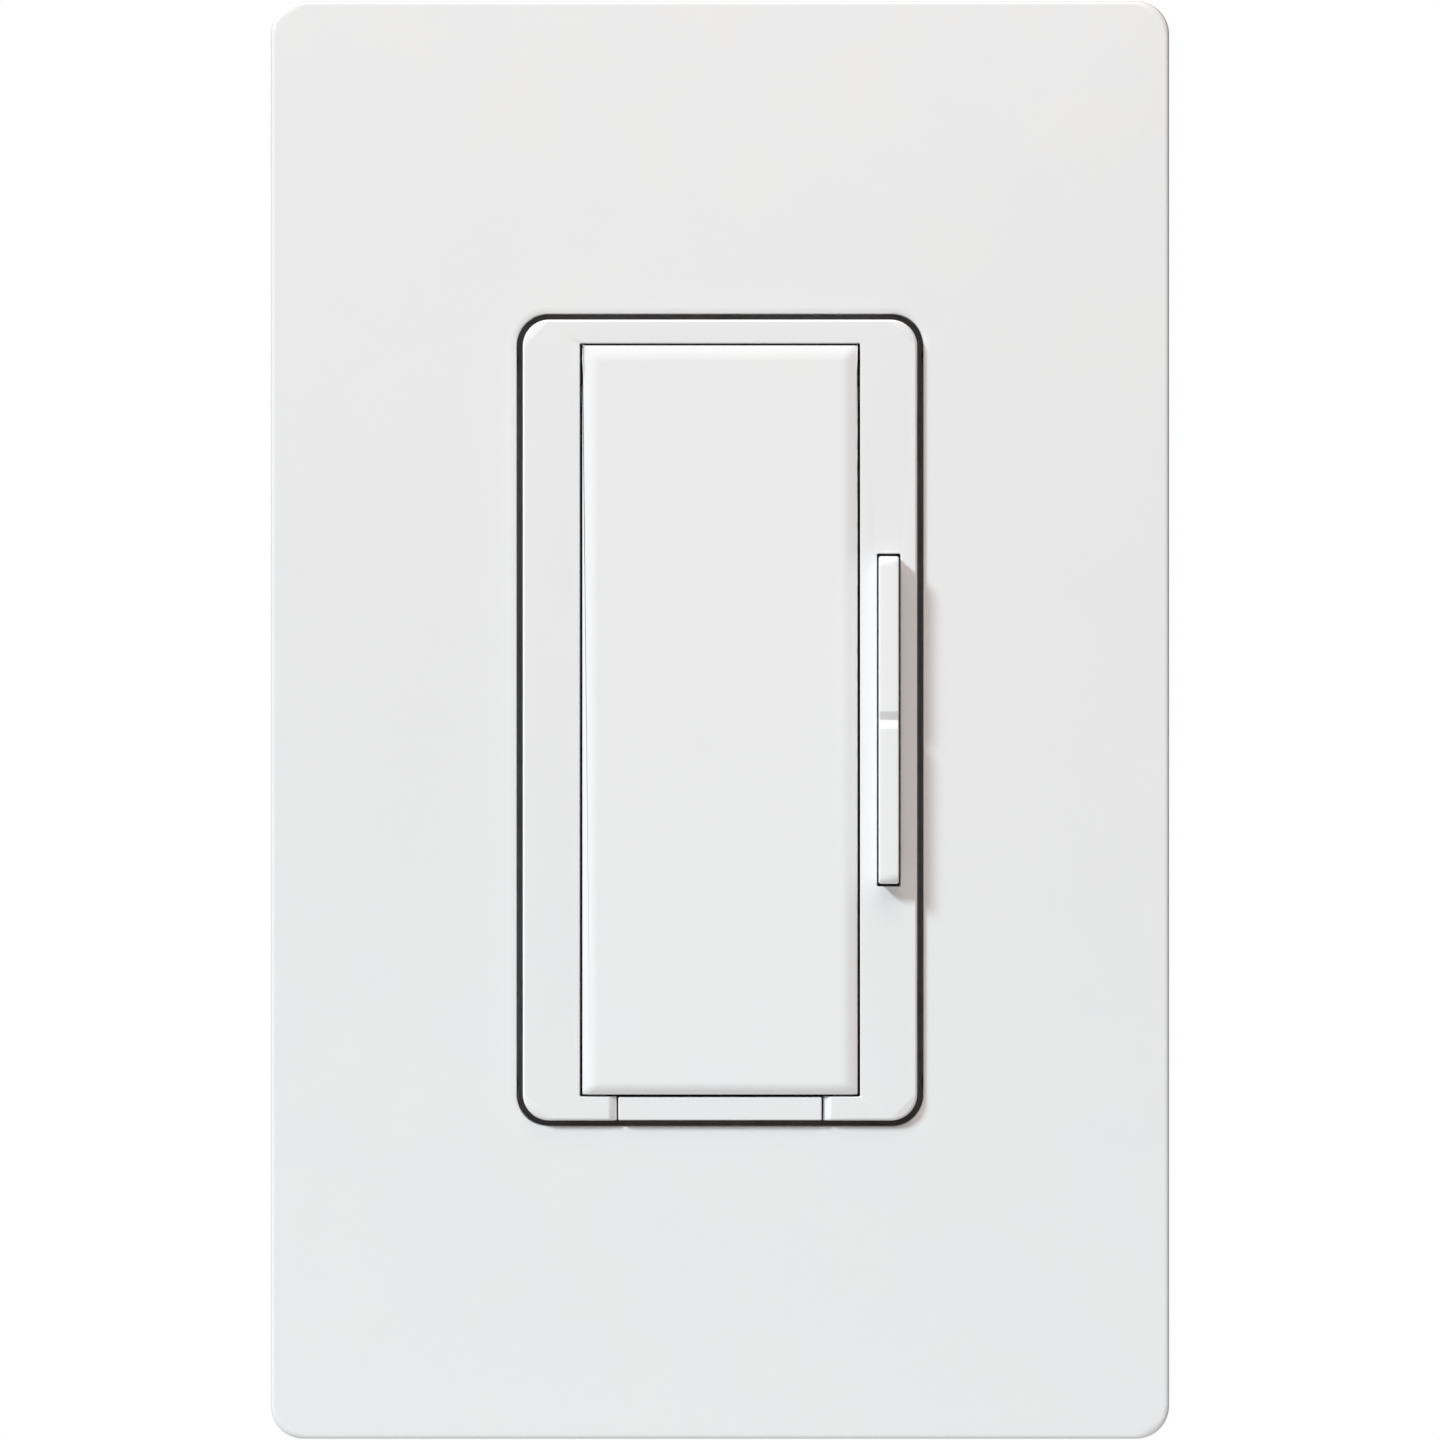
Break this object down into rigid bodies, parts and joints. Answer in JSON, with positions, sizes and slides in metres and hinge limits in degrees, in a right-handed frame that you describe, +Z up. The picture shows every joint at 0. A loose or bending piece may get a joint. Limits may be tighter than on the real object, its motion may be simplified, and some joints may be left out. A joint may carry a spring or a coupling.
{
  "type": "wall dimmer switch",
  "caption": "Single-gang wall dimmer with a screwless faceplate, a large tap paddle, a slim raise and lower rocker and a pull-out service switch.",
  "frame": {"origin": "on the plane of the finished wall, behind the middle of the faceplate", "axes": "+Z up the wall, -Y out of the wall towards the user, +Y into the wall box, +X to the user's right"},
  "size_m": [0.0746, 0.0397, 0.1194],
  "materials": {
    "palladium_plastic": "satin moulded plastic, very fine grain, off-white with a trace of silver",
    "adapter_plastic": "matt moulded plastic, light grey-white",
    "yoke_aluminium": "stamped aluminium, faint rolled grain",
    "zinc_steel": "bright zinc plate",
    "brass": "satin brass",
    "spring_bronze": "phosphor bronze strip",
    "contact_silver": "silver contact button",
    "ground_green": "green lacquered steel",
    "retainer_fibre": "pressed fibre washer",
    "black_plastic": "black moulded plastic, fine spark grain",
    "component_plastic": "black component plastic",
    "plunger_plastic": "natural nylon",
    "board_green": "glass-epoxy board with solder mask",
    "pad_silicone": "silicone insulating pad",
    "core_powder": "powder-coated iron core",
    "winding_copper": "enamelled copper wire",
    "film_yellow": "boxed film capacitor",
    "varistor_blue": "epoxy-dipped disc"
  },
  "bodies": {
    "device": {"adapter_plate": "adapter_plastic", "bezel": "palladium_plastic", "board_link": "component_plastic", "box_screw_bottom": "zinc_steel", "box_screw_top": "zinc_steel", "choke_core": "core_powder", "choke_winding": "winding_copper", "companion_clamp_plate": "zinc_steel", "companion_terminal_plate": "brass", "companion_terminal_screw": "brass", "contact_arm_post": "brass", "control_board": "board_green", "controller_chip": "component_plastic", "film_capacitor": "film_yellow", "fixed_contact": "contact_silver", "fixed_contact_bracket": "brass", "fuse": "component_plastic", "ground_screw": "ground_green", "housing_screw_bottom_left": "zinc_steel", "housing_screw_bottom_right": "zinc_steel", "housing_screw_top_left": "zinc_steel", "housing_screw_top_right": "zinc_steel", "line_clamp_plate": "zinc_steel", "line_terminal_plate": "brass", "line_terminal_screw": "brass", "load_clamp_plate": "zinc_steel", "load_terminal_plate": "brass", "load_terminal_screw": "brass", "lower_switch_body": "component_plastic", "plate_screw_bottom": "zinc_steel", "plate_screw_top": "zinc_steel", "power_board": "board_green", "raise_switch_body": "component_plastic", "rear_housing": "black_plastic", "screw_retainer_bottom": "retainer_fibre", "screw_retainer_top": "retainer_fibre", "supply_capacitor": "component_plastic", "surge_varistor": "varistor_blue", "tap_switch_body": "component_plastic", "triac": "component_plastic", "triac_insulating_pad": "pad_silicone", "triac_screw": "zinc_steel", "yoke": "yoke_aluminium"},
    "faceplate": {"faceplate": "palladium_plastic"},
    "paddle": {"tap_paddle": "palladium_plastic", "paddle_return_spring": "zinc_steel"},
    "rocker": {"dimming_rocker": "palladium_plastic"},
    "service_slide": {"service_slider": "palladium_plastic"},
    "contact_lever": {"contact_arm": "spring_bronze", "moving_contact": "contact_silver"},
    "tap_plunger": {"tap_switch_plunger": "plunger_plastic"},
    "raise_plunger": {"raise_switch_plunger": "plunger_plastic"},
    "lower_plunger": {"lower_switch_plunger": "plunger_plastic"}
  },
  "joints": [
    {"name": "faceplate_pull", "type": "slide", "parent": "device", "child": "faceplate", "axis": [0, -1, 0], "range_m": [0, 0.02]},
    {"name": "paddle_press", "type": "hinge", "parent": "device", "child": "paddle", "pos_m": [0, -0.005, 0.027], "axis": [1, 0, 0], "range_deg": [0, 0.6], "stiffness_Nm_per_rad": 3, "springref_deg": -1.15, "deforming": ["paddle_return_spring"]},
    {"name": "tap_plunger_slide", "type": "slide", "parent": "device", "child": "tap_plunger", "axis": [0, 1, 0], "range_m": [0, 0.00045]},
    {"name": "rocker_tilt", "type": "hinge", "parent": "device", "child": "rocker", "pos_m": [0.01397, -0.0042, 0], "axis": [1, 0, 0], "range_deg": [-2.2, 2.2], "stiffness_Nm_per_rad": 1},
    {"name": "raise_plunger_slide", "type": "slide", "parent": "device", "child": "raise_plunger", "axis": [0, 1, 0], "range_m": [-0.00036, 0.00036]},
    {"name": "lower_plunger_slide", "type": "slide", "parent": "device", "child": "lower_plunger", "axis": [0, 1, 0], "range_m": [-0.00036, 0.00036]},
    {"name": "service_pull", "type": "slide", "parent": "device", "child": "service_slide", "axis": [0, -1, 0], "range_m": [0, 0.0024]},
    {"name": "contact_arm_swing", "type": "hinge", "parent": "device", "child": "contact_lever", "pos_m": [-0.012, 0.0142, -0.03035], "axis": [0, 0, -1], "range_deg": [0, 11.6]}
  ],
  "couplings": [
    {"joint": "tap_plunger_slide", "follows": "paddle_press", "m_per_rad": 0.039},
    {"joint": "raise_plunger_slide", "follows": "rocker_tilt", "m_per_rad": -0.009},
    {"joint": "lower_plunger_slide", "follows": "rocker_tilt", "m_per_rad": 0.009},
    {"joint": "contact_arm_swing", "follows": "service_pull", "rad_per_m": 83.33}
  ]
}
